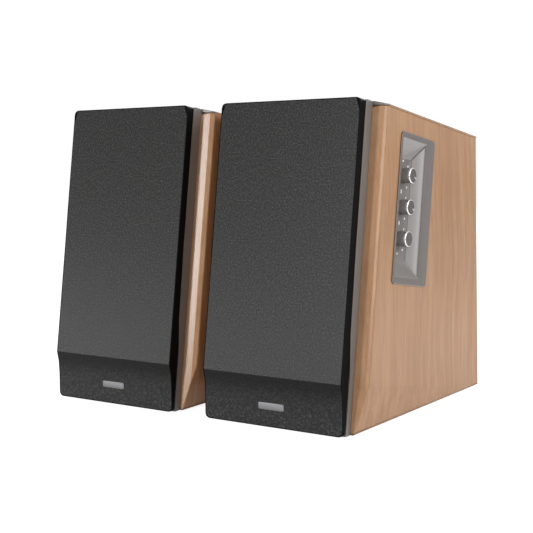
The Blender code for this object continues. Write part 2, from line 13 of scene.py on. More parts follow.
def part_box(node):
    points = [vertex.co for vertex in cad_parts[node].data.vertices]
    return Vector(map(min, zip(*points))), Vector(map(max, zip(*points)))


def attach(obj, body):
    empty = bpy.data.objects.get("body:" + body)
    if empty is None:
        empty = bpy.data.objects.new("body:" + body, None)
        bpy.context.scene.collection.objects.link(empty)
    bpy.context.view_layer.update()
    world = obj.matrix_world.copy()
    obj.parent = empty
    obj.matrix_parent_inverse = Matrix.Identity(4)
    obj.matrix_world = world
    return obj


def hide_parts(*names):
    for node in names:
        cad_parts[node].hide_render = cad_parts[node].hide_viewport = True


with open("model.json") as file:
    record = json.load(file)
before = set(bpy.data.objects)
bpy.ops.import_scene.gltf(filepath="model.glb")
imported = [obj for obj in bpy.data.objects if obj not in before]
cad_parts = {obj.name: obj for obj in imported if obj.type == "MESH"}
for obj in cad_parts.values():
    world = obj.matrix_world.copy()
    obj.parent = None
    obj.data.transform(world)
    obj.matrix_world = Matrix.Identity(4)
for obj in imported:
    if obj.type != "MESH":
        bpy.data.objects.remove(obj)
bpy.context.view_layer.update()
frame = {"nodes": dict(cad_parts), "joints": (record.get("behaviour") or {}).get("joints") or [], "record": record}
NODES = frame["nodes"]
MM = 0.001
SIDES = ("right", "left")

# The speakers' own frames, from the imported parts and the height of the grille's crease
PULL_AXIS = next(j["axis"] for j in frame["joints"] if j["name"] == "right_grille_pull")
TILT = math.atan2(PULL_AXIS[2], -PULL_AXIS[1])
SIN = math.sin(TILT)
COS = math.cos(TILT)
CREASE_Z = 42.0
TOP_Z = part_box("right_grille_frame")[1].z / MM
U_TOP = (TOP_Z - CREASE_Z) / COS
FRONT_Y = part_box("right_grille_frame")[0].y


def speaker_place(side):
    """Where the frame of one speaker stands."""
    low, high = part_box(side + "_front_foot")
    return Matrix.Translation(((low.x + high.x) / 2, FRONT_Y, 0.0))


def front_place(side):
    """Where the leaning frame of one speaker's front stands."""
    lean = Matrix.Translation((0, 0, CREASE_Z * MM)) @ Matrix.Rotation(-TILT, 4, "X")
    return speaker_place(side) @ lean


def front_point(y, z):
    """Speaker-frame (y, z) as front-frame (w, u)."""
    return Vector((y * COS - (z - CREASE_Z) * SIN, y * SIN + (z - CREASE_Z) * COS))


# Mesh tools; a lathe's point nearer to the axis than POLE is a pole
POLE = 1e-6
AXIS_POINT = {
    "x": lambda along, p: (along, p[0], p[1]),
    "y": lambda along, p: (p[0], along, p[1]),
}


def piece(name, bm, place, material, body, smooth=35.0):
    """Make a piece from a mesh in millimetres and let it ride on a body."""
    bmesh.ops.recalc_face_normals(bm, faces=bm.faces)
    bmesh.ops.scale(bm, vec=(MM, MM, MM), verts=bm.verts)
    mesh = bpy.data.meshes.new(name)
    bm.to_mesh(mesh)
    bm.free()
    mesh.shade_smooth()
    mesh.set_sharp_from_angle(angle=math.radians(smooth))
    mesh.materials.append(material)
    made = bpy.data.objects.new(name, mesh)
    bpy.context.scene.collection.objects.link(made)
    made.matrix_world = place
    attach(made, body)
    return made


def skin(bm, rings):
    for a, b in zip(rings, rings[1:]):
        for i in range(len(a)):
            j = (i + 1) % len(a)
            bm.faces.new((a[i], a[j], b[j], b[i]))


def loft(loops):
    """Skin a row of equal loops and cap both ends."""
    bm = bmesh.new()
    rings = [[bm.verts.new(p) for p in loop] for loop in loops]
    bm.faces.new(rings[0])
    bm.faces.new(rings[-1])
    skin(bm, rings)
    return bm


def circle(radius, count, start=0.0):
    turns = [start + 2 * math.pi * k / count for k in range(count)]
    return [(radius * math.cos(t), radius * math.sin(t)) for t in turns]


def lathe(axis, profile, segments=64):
    """Turn a closed profile of (radius, along) points round an axis; radius 0 makes a pole."""
    bm = bmesh.new()
    rings = []
    for radius, along in profile:
        points = circle(radius, segments) if radius > POLE else [(0.0, 0.0)]
        rings.append([bm.verts.new(AXIS_POINT[axis](along, p)) for p in points])
    for a, b in zip(rings, rings[1:] + rings[:1]):
        if len(a) == 1 and len(b) == 1:
            continue
        for i in range(segments):
            j = (i + 1) % segments
            corners = [a[i % len(a)], a[j % len(a)], b[j % len(b)], b[i % len(b)]]
            bm.faces.new(list(dict.fromkeys(corners)))
    return bm


def arc(centre, radius, start, end, steps=8):
    """Points of (radius, along) on an arc, with its angles in degrees from the radius axis."""
    points = []
    for k in range(steps + 1):
        turn = math.radians(start + (end - start) * k / steps)
        points.append((centre[0] + radius * math.cos(turn), centre[1] + radius * math.sin(turn)))
    return points


def rounded_rectangle(centre, half, radius, steps=6):
    points = []
    for corner, (sx, sy) in enumerate(((1, 1), (-1, 1), (-1, -1), (1, -1))):
        cx = centre[0] + sx * (half[0] - radius)
        cy = centre[1] + sy * (half[1] - radius)
        for k in range(steps + 1):
            turn = math.pi / 2 * (corner + k / steps)
            points.append((cx + radius * math.cos(turn), cy + radius * math.sin(turn)))
    return points


def add_to(target, part, offset=(0, 0, 0)):
    """Copy one working mesh into another."""
    bmesh.ops.translate(part, vec=offset, verts=part.verts)
    moved = {v: target.verts.new(v.co) for v in part.verts}
    bmesh.ops.recalc_face_normals(part, faces=part.faces)
    for face in part.faces:
        target.faces.new([moved[v] for v in face.verts])
    part.free()


# Shader tools
def add(tree, kind, values=(), **settings):
    """Add a node; a value that is a socket is linked, any other is set."""
    made = tree.nodes.new("ShaderNode" + kind)
    for key, value in settings.items():
        setattr(made, key, value)
    for key, value in dict(values).items():
        if isinstance(value, bpy.types.NodeSocket):
            tree.links.new(value, made.inputs[key])
        else:
            made.inputs[key].default_value = value
    return made


def arithmetic(tree, operation, a, b=0.0, c=0.0):
    return add(tree, "Math", {0: a, 1: b, 2: c}, operation=operation).outputs[0]


def blend(tree, shift, *parts):
    """A shift plus the share of each factor, with parts as (factor, share)."""
    for factor, share in parts:
        shift = arithmetic(tree, "MULTIPLY_ADD", factor, share, shift)
    return shift


def grain(tree, vector, scale, detail=2.0, stretch=(1, 1, 1)):
    """Noise with its own stretch; scale is in features per metre."""
    mapped = add(tree, "Mapping", {"Vector": vector, "Scale": [scale * s for s in stretch]})
    noise = add(tree, "TexNoise", {"Vector": mapped.outputs[0], "Scale": 1.0, "Detail": detail})
    return noise.outputs[0]


def ramp(tree, factor, stops):
    made = add(tree, "ValToRGB", {0: factor})
    points = made.color_ramp.elements
    while len(points) < len(stops):
        points.new(0.5)
    for point, (place, color) in zip(points, stops):
        point.position = place
        point.color = (*color, 1.0)
    return made.outputs[0]


def spread(tree, factor, low, high):
    """Map a 0 to 1 factor onto a range."""
    return add(tree, "MapRange", {0: factor, 3: low, 4: high}).outputs[0]


def bump(tree, height, depth):
    return add(tree, "Bump", {"Height": height, "Distance": depth, "Strength": 1.0}).outputs[0]


def new_material(name, **values):
    made = bpy.data.materials.new(name)
    made.use_nodes = True
    shader = made.node_tree.nodes["Principled BSDF"]
    for key, value in values.items():
        shader.inputs[key.replace("_", " ")].default_value = value
    return made, made.node_tree, shader.inputs


def object_coordinates(tree):
    return add(tree, "TexCoord").outputs["Object"]


# Materials; grains and scales are in features per metre, and lengths here are in metres
DRIFT_GRAIN = (6, 9, 7)
GRAIN_SWAY = 0.03
BROAD_GRAIN = (30, 34, 3.2)
STREAK_GRAIN = (150, 190, 5.5)
FINE_GRAIN = (700, 900, 26)
PORE_GRAIN = (1500, 1900, 70)
WOOD_TONES = (
    (0.22, (0.314, 0.156, 0.069)),
    (0.50, (0.396, 0.209, 0.099)),
    (0.78, (0.480, 0.268, 0.136)),
)
PORE_LEVEL = 0.66
PORE_SHADE = 0.20
PORE_COLOR = (0.20, 0.10, 0.05, 1)
PORE_DEPTH = 0.00003
WOOD_ROUGHNESS = (0.36, 0.52)
TONE_ENDS = (0.3, 0.7)
SPARK_SCALE = 2600.0
CLOUD_SCALE = 28.0
ROUGHNESS_SPREAD = 0.06
SCRATCH_SCALE = 1500.0
SCRATCH_SHADE = 0.88
SCRATCH_ROUGHNESS = (0.7, 1.3)
THREAD_PITCH = 1.25 * MM
MOTTLE_SCALE = 780.0
SLUB_GRAIN = (90, 60, 900)
CLOTH_TONES = (
    (0.25, (0.0015, 0.0016, 0.0016)),
    (0.50, (0.0110, 0.0114, 0.0110)),
    (0.78, (0.0520, 0.0524, 0.0502)),
)
CLOTH_DEPTH = 0.00008
CLOTH_ROUGHNESS = (0.30, 0.44)
# Painted shade on the chin: the heights over which it deepens towards the crease, how deep it goes and its colour
CHIN_PAINTED_SHADE_Z = (-0.038, -0.004)
CHIN_PAINTED_SHADE = 0.75
CHIN_PAINTED_SHADE_COLOR = (0.001, 0.001, 0.001, 1)


def make_wood():
    """Cherry veneer with its grain along the front edge, under a satin lacquer."""
    made, tree, shader = new_material(
        "wood_veneer", Specular_IOR_Level=0.1, Coat_Weight=0.7, Coat_Roughness=0.22, Coat_IOR=1.5,
    )
    where = object_coordinates(tree)
    drift = grain(tree, where, 1.0, 1.0, DRIFT_GRAIN)
    sway = arithmetic(tree, "MULTIPLY_ADD", drift, GRAIN_SWAY, -GRAIN_SWAY / 2)
    shift = add(tree, "CombineXYZ", {"X": sway, "Y": sway}).outputs[0]
    where = add(tree, "VectorMath", {0: where, 1: shift}, operation="ADD").outputs[0]
    broad = grain(tree, where, 1.0, 3.0, BROAD_GRAIN)
    streaks = grain(tree, where, 1.0, 3.0, STREAK_GRAIN)
    fine = grain(tree, where, 1.0, 2.0, FINE_GRAIN)
    pores = grain(tree, where, 1.0, 1.0, PORE_GRAIN)
    mixed = blend(tree, -0.30, (broad, 0.45), (streaks, 0.75), (fine, 0.40))
    color = ramp(tree, mixed, WOOD_TONES)
    dark = arithmetic(tree, "GREATER_THAN", pores, PORE_LEVEL)
    dark = arithmetic(tree, "MULTIPLY", dark, PORE_SHADE)
    pored = add(tree, "MixRGB", {0: dark, 1: color, 2: PORE_COLOR})
    tree.links.new(pored.outputs[0], shader["Base Color"])
    tree.links.new(spread(tree, fine, *WOOD_ROUGHNESS), shader["Roughness"])
    tree.links.new(bump(tree, pores, PORE_DEPTH), shader["Normal"])
    return made


def make_plastic(name, color, roughness, speckle=0.14, depth=0.00003, gloss=0.5, metallic=0.0):
    """Moulded plastic with a fine spark-eroded surface."""
    made, tree, shader = new_material(name, Metallic=metallic, Specular_IOR_Level=gloss)
    where = object_coordinates(tree)
    spark = grain(tree, where, SPARK_SCALE)
    cloud = grain(tree, where, CLOUD_SCALE)
    tone = blend(tree, 0.0, (cloud, 0.4), (spark, 0.6))
    tones = [[c * (1 + change) for c in color] for change in (-speckle, speckle)]
    tree.links.new(ramp(tree, tone, list(zip(TONE_ENDS, tones))), shader["Base Color"])
    smooth, rough = roughness - ROUGHNESS_SPREAD, roughness + ROUGHNESS_SPREAD
    tree.links.new(spread(tree, cloud, smooth, rough), shader["Roughness"])
    tree.links.new(bump(tree, spark, depth), shader["Normal"])
    return made


def make_metal(name, color, roughness, stretch=(1, 1, 1)):
    """Plated or brushed metal with fine scratches."""
    made, tree, shader = new_material(name, Metallic=1.0)
    where = object_coordinates(tree)
    scratch = grain(tree, where, SCRATCH_SCALE, 3.0, stretch)
    tones = [[c * SCRATCH_SHADE for c in color], color]
    tree.links.new(ramp(tree, scratch, list(zip(TONE_ENDS, tones))), shader["Base Color"])
    smooth, rough = [roughness * share for share in SCRATCH_ROUGHNESS]
    tree.links.new(spread(tree, scratch, smooth, rough), shader["Roughness"])
    return made


def make_cloth():
    """Charcoal plain weave along the piece's own x and z, with painted shade darkening the chin towards the
    crease.
    """
    made, tree, shader = new_material(
        "grille_cloth", Specular_IOR_Level=0.18, Sheen_Weight=0.03, Sheen_Roughness=0.5,
    )
    where = object_coordinates(tree)
    parts = add(tree, "SeparateXYZ", {0: where})
    pitch = 2 * math.pi / THREAD_PITCH
    warp = arithmetic(tree, "SINE", arithmetic(tree, "MULTIPLY", parts.outputs["X"], pitch))
    weft = arithmetic(tree, "SINE", arithmetic(tree, "MULTIPLY", parts.outputs["Z"], pitch))
    weave = arithmetic(tree, "MULTIPLY", warp, weft)
    mottle = grain(tree, where, MOTTLE_SCALE, 1.0, (1, 0.1, 1))
    slub = grain(tree, where, 1.0, 2.0, SLUB_GRAIN)
    tone = blend(tree, -0.10, (weave, 0.12), (mottle, 1.05), (slub, 0.15))
    color = ramp(tree, tone, CLOTH_TONES)
    # Painted shade: below the crease the cloth's colour is mixed towards near black, more so nearer the crease,
    # standing in for the shadow under it
    up = parts.outputs["Z"]
    foot, crease = CHIN_PAINTED_SHADE_Z
    shade = add(tree, "MapRange", {0: up, 1: foot, 2: crease, 3: 0.0, 4: CHIN_PAINTED_SHADE}).outputs[0]
    below = arithmetic(tree, "LESS_THAN", up, 0.0)
    shade = arithmetic(tree, "MULTIPLY", shade, below)
    color = add(tree, "MixRGB", {0: shade, 1: color, 2: CHIN_PAINTED_SHADE_COLOR}).outputs[0]
    tree.links.new(color, shader["Base Color"])
    tree.links.new(spread(tree, tone, *CLOTH_ROUGHNESS), shader["Roughness"])
    tree.links.new(bump(tree, tone, CLOTH_DEPTH), shader["Normal"])
    return made


WOOD = make_wood()
GREY = make_plastic("grey_plastic", (0.160, 0.142, 0.132), 0.32, gloss=0.6)
# The recess moulding is one grey plastic: a darker copy on its flange is painted shade, a paler copy on its walls
# is painted highlight
BEZEL_PAINTED_SHADE = make_plastic("bezel_plastic_painted_shade", (0.132, 0.117, 0.110), 0.42, gloss=0.40)
WALL_PAINTED_HIGHLIGHT = make_plastic("recess_plastic_painted_highlight", (0.285, 0.265, 0.258), 0.28, depth=0.000004, gloss=1.0)
BLACK = make_plastic("black_plastic", (0.0045, 0.0046, 0.0048), 0.45, gloss=0.03)
KNOB = make_plastic("knob_plastic", (0.270, 0.245, 0.230), 0.40, gloss=0.5)
KNOB_FACE = make_plastic("knob_face", (0.080, 0.071, 0.066), 0.45, gloss=0.4)
RUBBER = make_plastic("rubber", (0.022, 0.022, 0.022), 0.80, 0.2, gloss=0.2)
BOARD = make_plastic("black_board", (0.028, 0.027, 0.027), 0.55, 0.25, 0.00006, gloss=0.25)
STEEL = make_plastic("black_steel", (0.022, 0.022, 0.023), 0.45, 0.15, 0.00005, metallic=0.2)
PAPER = make_plastic("paper_cone", (0.030, 0.030, 0.031), 0.85, 0.35, 0.0001, gloss=0.2)
SILK = make_plastic("silk_dome", (0.028, 0.028, 0.032), 0.55, 0.2, 0.00005, gloss=0.3)
CIRCUIT = make_plastic("circuit_board", (0.02, 0.10, 0.05), 0.45, 0.3)
WHITE = make_plastic("white_print", (0.80, 0.79, 0.77), 0.50, 0.05)
PALE = make_plastic("pale_print", (0.45, 0.43, 0.42), 0.50, 0.05)
RED = make_plastic("red_insulator", (0.45, 0.02, 0.02), 0.40, 0.06)
CHROME = make_metal("chrome", (0.80, 0.80, 0.81), 0.12)
SATIN = make_metal("satin_plate", (0.18, 0.18, 0.185), 0.60, (0.05, 1, 1))
ZINC = make_metal("zinc_plate", (0.50, 0.50, 0.51), 0.35)
COPPER = make_metal("copper", (0.62, 0.30, 0.16), 0.35)
NICKEL = make_metal("nickel", (0.66, 0.63, 0.57), 0.25)
CLOTH = make_cloth()

FINISH_OF_SLOT = {
    "wood_veneer": WOOD,
    "grey_plastic": GREY,
    "black_board": BOARD,
    "black_plastic": BLACK,
    "grille_cloth": CLOTH,
    "black_steel": STEEL,
    "zinc_plate": ZINC,
    "paper_cone": PAPER,
    "rubber": RUBBER,
    "copper": COPPER,
    "silk_dome": SILK,
    "chrome": CHROME,
    "circuit_board": CIRCUIT,
}


# Solids that stay in view, with the widths of their rounded edges
SPEAKER_EDGES = {
    "front_baffle": 0.35,
    "bottom_panel": 0.35,
    "top_panel": 0.15,
    "front_foot": 0.4,
    "rear_foot": 0.4,
    "back_panel": 0.5,
    "grille_frame": 0.25,
}
OTHER_EDGES = {
    "right_amp_plate": 0.3,
    "left_link_panel": 0.3,
    "right_power_inlet": 0.3,
    "right_power_switch_housing": 0.3,
    "right_power_rocker": 0.3,
    "right_line_jacks": 0.4,
}
EDGE_SEGMENTS = 2
EDGE_ANGLE = math.radians(40)


def dress_solids():
    """Give every solid the finish of its slot."""
    for part in frame["record"]["subparts"]:
        solid = NODES[part["node"]]
        solid.data.materials.clear()
        solid.data.materials.append(FINISH_OF_SLOT[part["material_slot"]])


def soften(name, width):
    """Round the edges of a solid."""
    change = NODES[name].modifiers.new("soft_edges", "BEVEL")
    change.width = width * MM
    change.segments = EDGE_SEGMENTS
    change.limit_method = "ANGLE"
    change.angle_limit = EDGE_ANGLE


def dress_edges():
    for side in SIDES:
        for name, width in SPEAKER_EDGES.items():
            soften(f"{side}_{name}", width)
    for name, width in OTHER_EDGES.items():
        soften(name, width)


# Grille cloth
GRILLE_HALF = 65.0
CLOTH_TRIM = 0.8
CLOTH_CORNER = 3.2
CLOTH_THICKNESS = 0.5
CHIN_COVE = ((0.9, 1.6), (1.7, 22.0), (1.5, 33.0))
COVE_STEPS = 6
FRONT_STEPS = 24
CLOTH_COLUMNS = 24


def cloth_profile():
    """The cloth's run from the chin up over the crease to the top, as (w, u) points."""
    corners = [front_point(y, z) for y, z in CHIN_COVE] + [Vector((0, 0))]
    first = (corners[1] - corners[0]).normalized()
    corners[0] += first * CLOTH_TRIM
    line = []
    ends = [corners[0]] + corners + [corners[-1]]
    for i in range(1, len(ends) - 2):
        a, b, c, d = ends[i - 1:i + 3]
        for k in range(COVE_STEPS):
            t = k / COVE_STEPS
            slope = (c - a) * t
            bend = (2 * a - 5 * b + 4 * c - d) * t ** 2
            twist = (3 * b - a - 3 * c + d) * t ** 3
            line.append(0.5 * (2 * b + slope + bend + twist))
    line.append(corners[-1])
    top = U_TOP - CLOTH_TRIM
    line += [Vector((0, top * (k + 1) / FRONT_STEPS)) for k in range(FRONT_STEPS)]
    return line


def border(rows):
    """The outer loop of a grid of points."""
    return rows[0] + [r[-1] for r in rows[1:-1]] + rows[-1][::-1] + [r[0] for r in rows[-2:0:-1]]


def build_cloth(side):
    line = cloth_profile()
    half = GRILLE_HALF - CLOTH_TRIM
    low_u, high_u = line[0].y, line[-1].y
    bm = bmesh.new()
    borders = []
    for depth in (0.0, CLOTH_THICKNESS):
        rows = []
        for before, point, after in zip(line[:1] + line, line, line[1:] + line[-1:]):
            inside = min(point.y - low_u, high_u - point.y)
            narrow = 0.0
            if inside < CLOTH_CORNER:
                narrow = CLOTH_CORNER - math.sqrt(CLOTH_CORNER ** 2 - (CLOTH_CORNER - inside) ** 2)
            reach = half - narrow
            run = (after - before).normalized()
            w, u = point + Vector((run.y, -run.x)) * depth
            across = [reach * (2 * k / CLOTH_COLUMNS - 1) for k in range(CLOTH_COLUMNS + 1)]
            rows.append([bm.verts.new((x, w, u)) for x in across])
        for a, b in zip(rows, rows[1:]):
            for k in range(CLOTH_COLUMNS):
                bm.faces.new((a[k], a[k + 1], b[k + 1], b[k]))
        borders.append(border(rows))
    skin(bm, borders)
    name = side + "_cloth_sheet"
    made = piece(name, bm, front_place(side), CLOTH, side + "_grille", smooth=8)
    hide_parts(side + "_grille_cloth")


# Thin rails beside each grille and the veneer lips behind them, as (x, w) ranges
RAIL_X = (65.15, 65.5)
RAIL_W = (7.0, 10.75)
RAIL_TAPER = ((7.0, 100.0), (7.9, 38.0), (10.7, 10.0))
RAIL_TOP_U = U_TOP - 1.0
LIP_X = (65.52, 65.98)
LIP_W = (17.0, 25.0)
LIP_FOOT_Z = 4.0
LIP_TOP_U = U_TOP - 5.0


def layer_point(w, z):
    """The front-frame point of a height z on the layer w."""
    return w, (z - CREASE_Z + w * SIN) / COS


def build_baffle_trim(side):
    low_w, high_w = RAIL_W
    foot = RAIL_TAPER[-1][1]
    rail = [(high_w, foot), (high_w, RAIL_TOP_U), (low_w, RAIL_TOP_U), *RAIL_TAPER]
    lip = [layer_point(w, LIP_FOOT_Z) for w in LIP_W] + [(w, LIP_TOP_U) for w in reversed(LIP_W)]
    for name, outline, reach, material, slot in (
        ("_baffle_rails", rail, RAIL_X, GREY, "grey_plastic"),
        ("_veneer_lips", lip, LIP_X, WOOD, "wood_veneer"),
    ):
        bm = bmesh.new()
        for sign in (1, -1):
            add_to(bm, loft([[(sign * x, *p) for p in outline] for x in reach]))
        piece(side + name, bm, front_place(side), material, side + "_cabinet")


# Edge banding that carries the veneer up over the joint under each top panel
SIDE_X = 77.0
BAND_SUNK = 0.02
BAND_PROUD = 0.12
BAND_U = (U_TOP - 3.5, U_TOP - 2.4)
BAND_FRONT_W = 21.6
BAND_BACK_GAP = 0.1


def build_edge_banding(side):
    back_y = (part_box(side + "_right_side_panel")[1].y - FRONT_Y) / MM
    low, high = BAND_U
    outline = [(BAND_FRONT_W, low), (BAND_FRONT_W, high)]
    outline += [((back_y - u * SIN) / COS - BAND_BACK_GAP, u) for u in (high, low)]
    reach = (SIDE_X - BAND_SUNK, SIDE_X + BAND_PROUD)
    bm = bmesh.new()
    for sign in (1, -1):
        add_to(bm, loft([[(sign * x, *p) for p in outline] for x in reach]))
    piece(side + "_edge_banding", bm, front_place(side), WOOD, side + "_cabinet")


# Edge banding along the bottom of the sides; the facets there start on a line between two (y, z) points
BOTTOM_Z = 1.6
FACET_FRONT = (23.0, 38.0)
FACET_REAR = (206.0, 1.6)
FACET_INSET = 8.5
FOOT_BAND_Y = (12.2, 206.0, 213.4)
FOOT_BAND_Z = (1.95, 2.75)


def side_reach(y, z):
    """How far out the side or its lower facet is at a height and depth."""
    per_z = FACET_INSET / (FACET_FRONT[1] - BOTTOM_Z)
    per_y = per_z * (FACET_FRONT[1] - FACET_REAR[1]) / (FACET_REAR[0] - FACET_FRONT[0])
    return min(SIDE_X, SIDE_X + per_z * (z - FACET_FRONT[1]) + per_y * (y - FACET_FRONT[0]))


def build_foot_banding(side):
    bm = bmesh.new()
    for sign in (1, -1):
        loops = []
        for z in FOOT_BAND_Z:
            edge = [(side_reach(y, z), y) for y in FOOT_BAND_Y]
            outline = [(x + BAND_PROUD, y) for x, y in edge]
            outline += [(x - BAND_SUNK, y) for x, y in reversed(edge)]
            loops.append([(sign * x, y, z) for x, y in outline])
        add_to(bm, loft(loops))
    piece(side + "_foot_banding", bm, speaker_place(side), WOOD, side + "_cabinet")


# Plain plate on each grille's chin, with its edge as (y behind the face, inset) steps
PLATE_Z = 18.0
PLATE_HALF = (12.0, 2.8)
PLATE_Y = (1.7, 0.95)
PLATE_CORNER = 1.2
PLATE_EDGE = ((0.3, 0.0), (0.08, 0.1), (0.0, 0.35))


def build_chin_plate(side):
    back, face = PLATE_Y
    loops = []
    for behind, inset in ((back - face, 0.0), *PLATE_EDGE):
        y = face + behind
        half = [h - inset for h in PLATE_HALF]
        outline = rounded_rectangle((0.0, PLATE_Z), half, PLATE_CORNER - inset)
        loops.append([(x, y, z) for x, z in outline])
    piece(side + "_chin_plate", loft(loops), speaker_place(side), SATIN, side + "_grille")


# Control recess in the right speaker's outer side, as (w, u) centres and half sizes
FLANGE_AT = (72.0, 137.4)
FLANGE_HALF = (28.25, 59.2)
FLANGE_CORNER = 3.5
FLANGE_X = (77.05, 78.2)
FLANGE_EDGE = ((0.45, 0.0), (0.13, 0.13), (0.0, 0.45))
RECESS_AT = (65.9, 137.75)
MOUTH_HALF = (19.8, 54.25)
FLOOR_HALF = (13.8, 41.0)
FLOOR_X = 68.2
FLOOR_WALL = 2.0
NECK_WALL = 0.7
RECESS_CORNER = 1.2
WALL_DEPTHS = (0.0, 0.02, 0.06, 0.12, 0.22, 0.4, 0.7, 1.1, 1.6, 2.1, 2.6)
FLOOR_FILLET = (0.3, 0.5)
REAR_EDGE = 3.2
OTHER_EDGE = 0.8

# How the recess's faces are told apart: normals along x of its walls, and the slack above its floor
WALL_SLANT = (0.2, 0.95)
REAR_SLANT = 0.6
FLOOR_SLACK = 0.1

# Knobs and the dots round them; face and pointer steps are measured from a knob's top
KNOBS = ("volume", "bass", "treble")
KNOB_AT = (66.5, 139.5)
KNOB_PITCH = 25.0
KNOB_RADIUS = 6.25
KNOB_X = (69.2, 77.9)
SHAFT_RADIUS = 2.9
SHAFT_LOW_X = 54.2
BORE = 0.45
ROUND_SIDES = 32
KNOB_CHAMFER = 0.3
FLUTES = 40
FLUTE_DEPTH = 0.22
BARREL_INSET = 0.25
RING_HEIGHT = 2.1
RING_GAP = 0.1
RING_CHAMFER = 0.2
FACE_RADIUS = 5.5
FACE_PROFILE = ((5.45, 0.6), (5.45, 0.25), (5.25, 0.1), (0, 0.05))
POINTER_CLOCK = math.radians(-20.0)
POINTER_AT = (4.5, 0.0)
POINTER_HALF = (1.6, 0.8)
POINTER_CORNER = 0.3
POINTER_LAYERS = ((-0.5, 0.0), (0.0, 0.0), (0.04, 0.06))
DOT_RING = 11.8
DOT_COUNT = 8
DOT_PROFILE = ((0, 0.0), (0.9, 0.0), (0.82, 0.05), (0, 0.06))
DOT_SIDES = 16
LAST_DOT = (-9.5, -13.0)


def knob_place(k):
    return KNOB_AT[0], KNOB_AT[1] + (k - 1) * KNOB_PITCH


def wall_inset(depth, run, edge):
    """How far a sloping wall has come in at a depth below the flange, with a rounded upper edge."""
    full = FLANGE_X[1] - FLOOR_X
    angle = math.atan2(full, run)
    if depth < edge * (1 - math.cos(angle)):
        turn = math.acos(1 - depth / edge)
        return edge * math.sin(turn) - edge * math.tan(angle / 2)
    return depth * run / full


def recess_loop(depth):
    run_w = MOUTH_HALF[0] - FLOOR_HALF[0]
    run_u = MOUTH_HALF[1] - FLOOR_HALF[1]
    front = RECESS_AT[0] - MOUTH_HALF[0] + wall_inset(depth, run_w, OTHER_EDGE)
    rear = RECESS_AT[0] + MOUTH_HALF[0] - wall_inset(depth, run_w, REAR_EDGE)
    half_u = MOUTH_HALF[1] - wall_inset(depth, run_u, OTHER_EDGE)
    centre = ((front + rear) / 2, RECESS_AT[1])
    outline = rounded_rectangle(centre, ((rear - front) / 2, half_u), RECESS_CORNER)
    return [(FLANGE_X[1] - depth, *p) for p in outline]


def grown(half, distance):
    return half[0] + distance, half[1] + distance


def outline_at(x, centre, half, corner):
    return [(x, *p) for p in rounded_rectangle(centre, half, corner)]


def bezel_light_copy(face):
    """0 for the flange's darker copy as painted shade, 1 for the walls' paler copy as painted highlight, 2 for the
    plain grey of the lower wall and the floor of the recess.
    """
    low, high = WALL_SLANT
    x, y, z = face.normal
    on_floor = x > high and face.center.x < (FLOOR_X + FLOOR_SLACK) * MM
    if on_floor or (low < x < high and z > low):
        return 2
    return int(low < x < (REAR_SLANT if y < -low else high))


def build_bezel():
    low_x, high_x = FLANGE_X
    fillet, fillet_depth = FLOOR_FILLET
    depths = (*WALL_DEPTHS, high_x - FLOOR_X - fillet_depth)
    loops = [
        outline_at(FLOOR_X - FLOOR_WALL, RECESS_AT, grown(FLOOR_HALF, NECK_WALL), RECESS_CORNER),
        outline_at(low_x, RECESS_AT, grown(MOUTH_HALF, NECK_WALL), RECESS_CORNER),
        outline_at(low_x, FLANGE_AT, FLANGE_HALF, FLANGE_CORNER),
    ]
    for drop, inset in FLANGE_EDGE:
        loops.append(outline_at(high_x - drop, FLANGE_AT, grown(FLANGE_HALF, -inset), FLANGE_CORNER))
    loops += [recess_loop(depth) for depth in depths]
    loops.append(outline_at(FLOOR_X, RECESS_AT, grown(FLOOR_HALF, -fillet), RECESS_CORNER))
    bm = bmesh.new()
    rings = [[bm.verts.new(p) for p in loop] for loop in loops]
    skin(bm, rings)
    bores = []
    for k in range(len(KNOBS)):
        w, u = knob_place(k)
        round_hole = circle(SHAFT_RADIUS + BORE, ROUND_SIDES)
        ends = (FLOOR_X - FLOOR_WALL, FLOOR_X)
        bore = [[bm.verts.new((x, w + p, u + q)) for p, q in round_hole] for x in ends]
        skin(bm, bore)
        bores.append(bore)
    for end, ring in ((0, rings[0]), (1, rings[-1])):
        rims = [ring] + [bore[end] for bore in bores]
        edges = [bm.edges.get((a, b)) for rim in rims for a, b in zip(rim, rim[1:] + rim[:1])]
        bmesh.ops.triangle_fill(bm, use_beauty=True, edges=edges)
    made = piece("right_bezel_moulding", bm, front_place("right"), BEZEL_PAINTED_SHADE, "right_cabinet")
    # Painted light on the one moulding: the flange keeps the darker copy as painted shade, the walls take the
    # paler copy as painted highlight, the lower wall and floor the plain grey
    made.data.materials.append(WALL_PAINTED_HIGHLIGHT)
    made.data.materials.append(GREY)
    for face in made.data.polygons:
        face.material_index = bezel_light_copy(face)
    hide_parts("right_control_bezel")


def build_dots():
    """Printed scale dots round each knob on the recess floor."""
    bm = bmesh.new()
    for k, name in enumerate(KNOBS):
        w, u = knob_place(k)
        dots = circle(DOT_RING, DOT_COUNT)
        if name == "volume":
            dots.append(LAST_DOT)
        for p, q in dots:
            add_to(bm, lathe("x", DOT_PROFILE, DOT_SIDES), (FLOOR_X, w + p, u + q))
    piece("right_scale_dots", bm, front_place("right"), WHITE, "right_cabinet")


def knurl(low, high, radius):
    """A fluted barrel along x, with its low end turned down a little."""
    loops = []
    for x, inset in ((low, KNOB_CHAMFER), (low + KNOB_CHAMFER, 0.0), (high, 0.0)):
        loop = []
        for i, (p, q) in enumerate(circle(radius - inset, 2 * FLUTES)):
            share = 1.0 - FLUTE_DEPTH / radius * (i % 2)
            loop.append((x, p * share, q * share))
        loops.append(loop)
    return loft(loops)


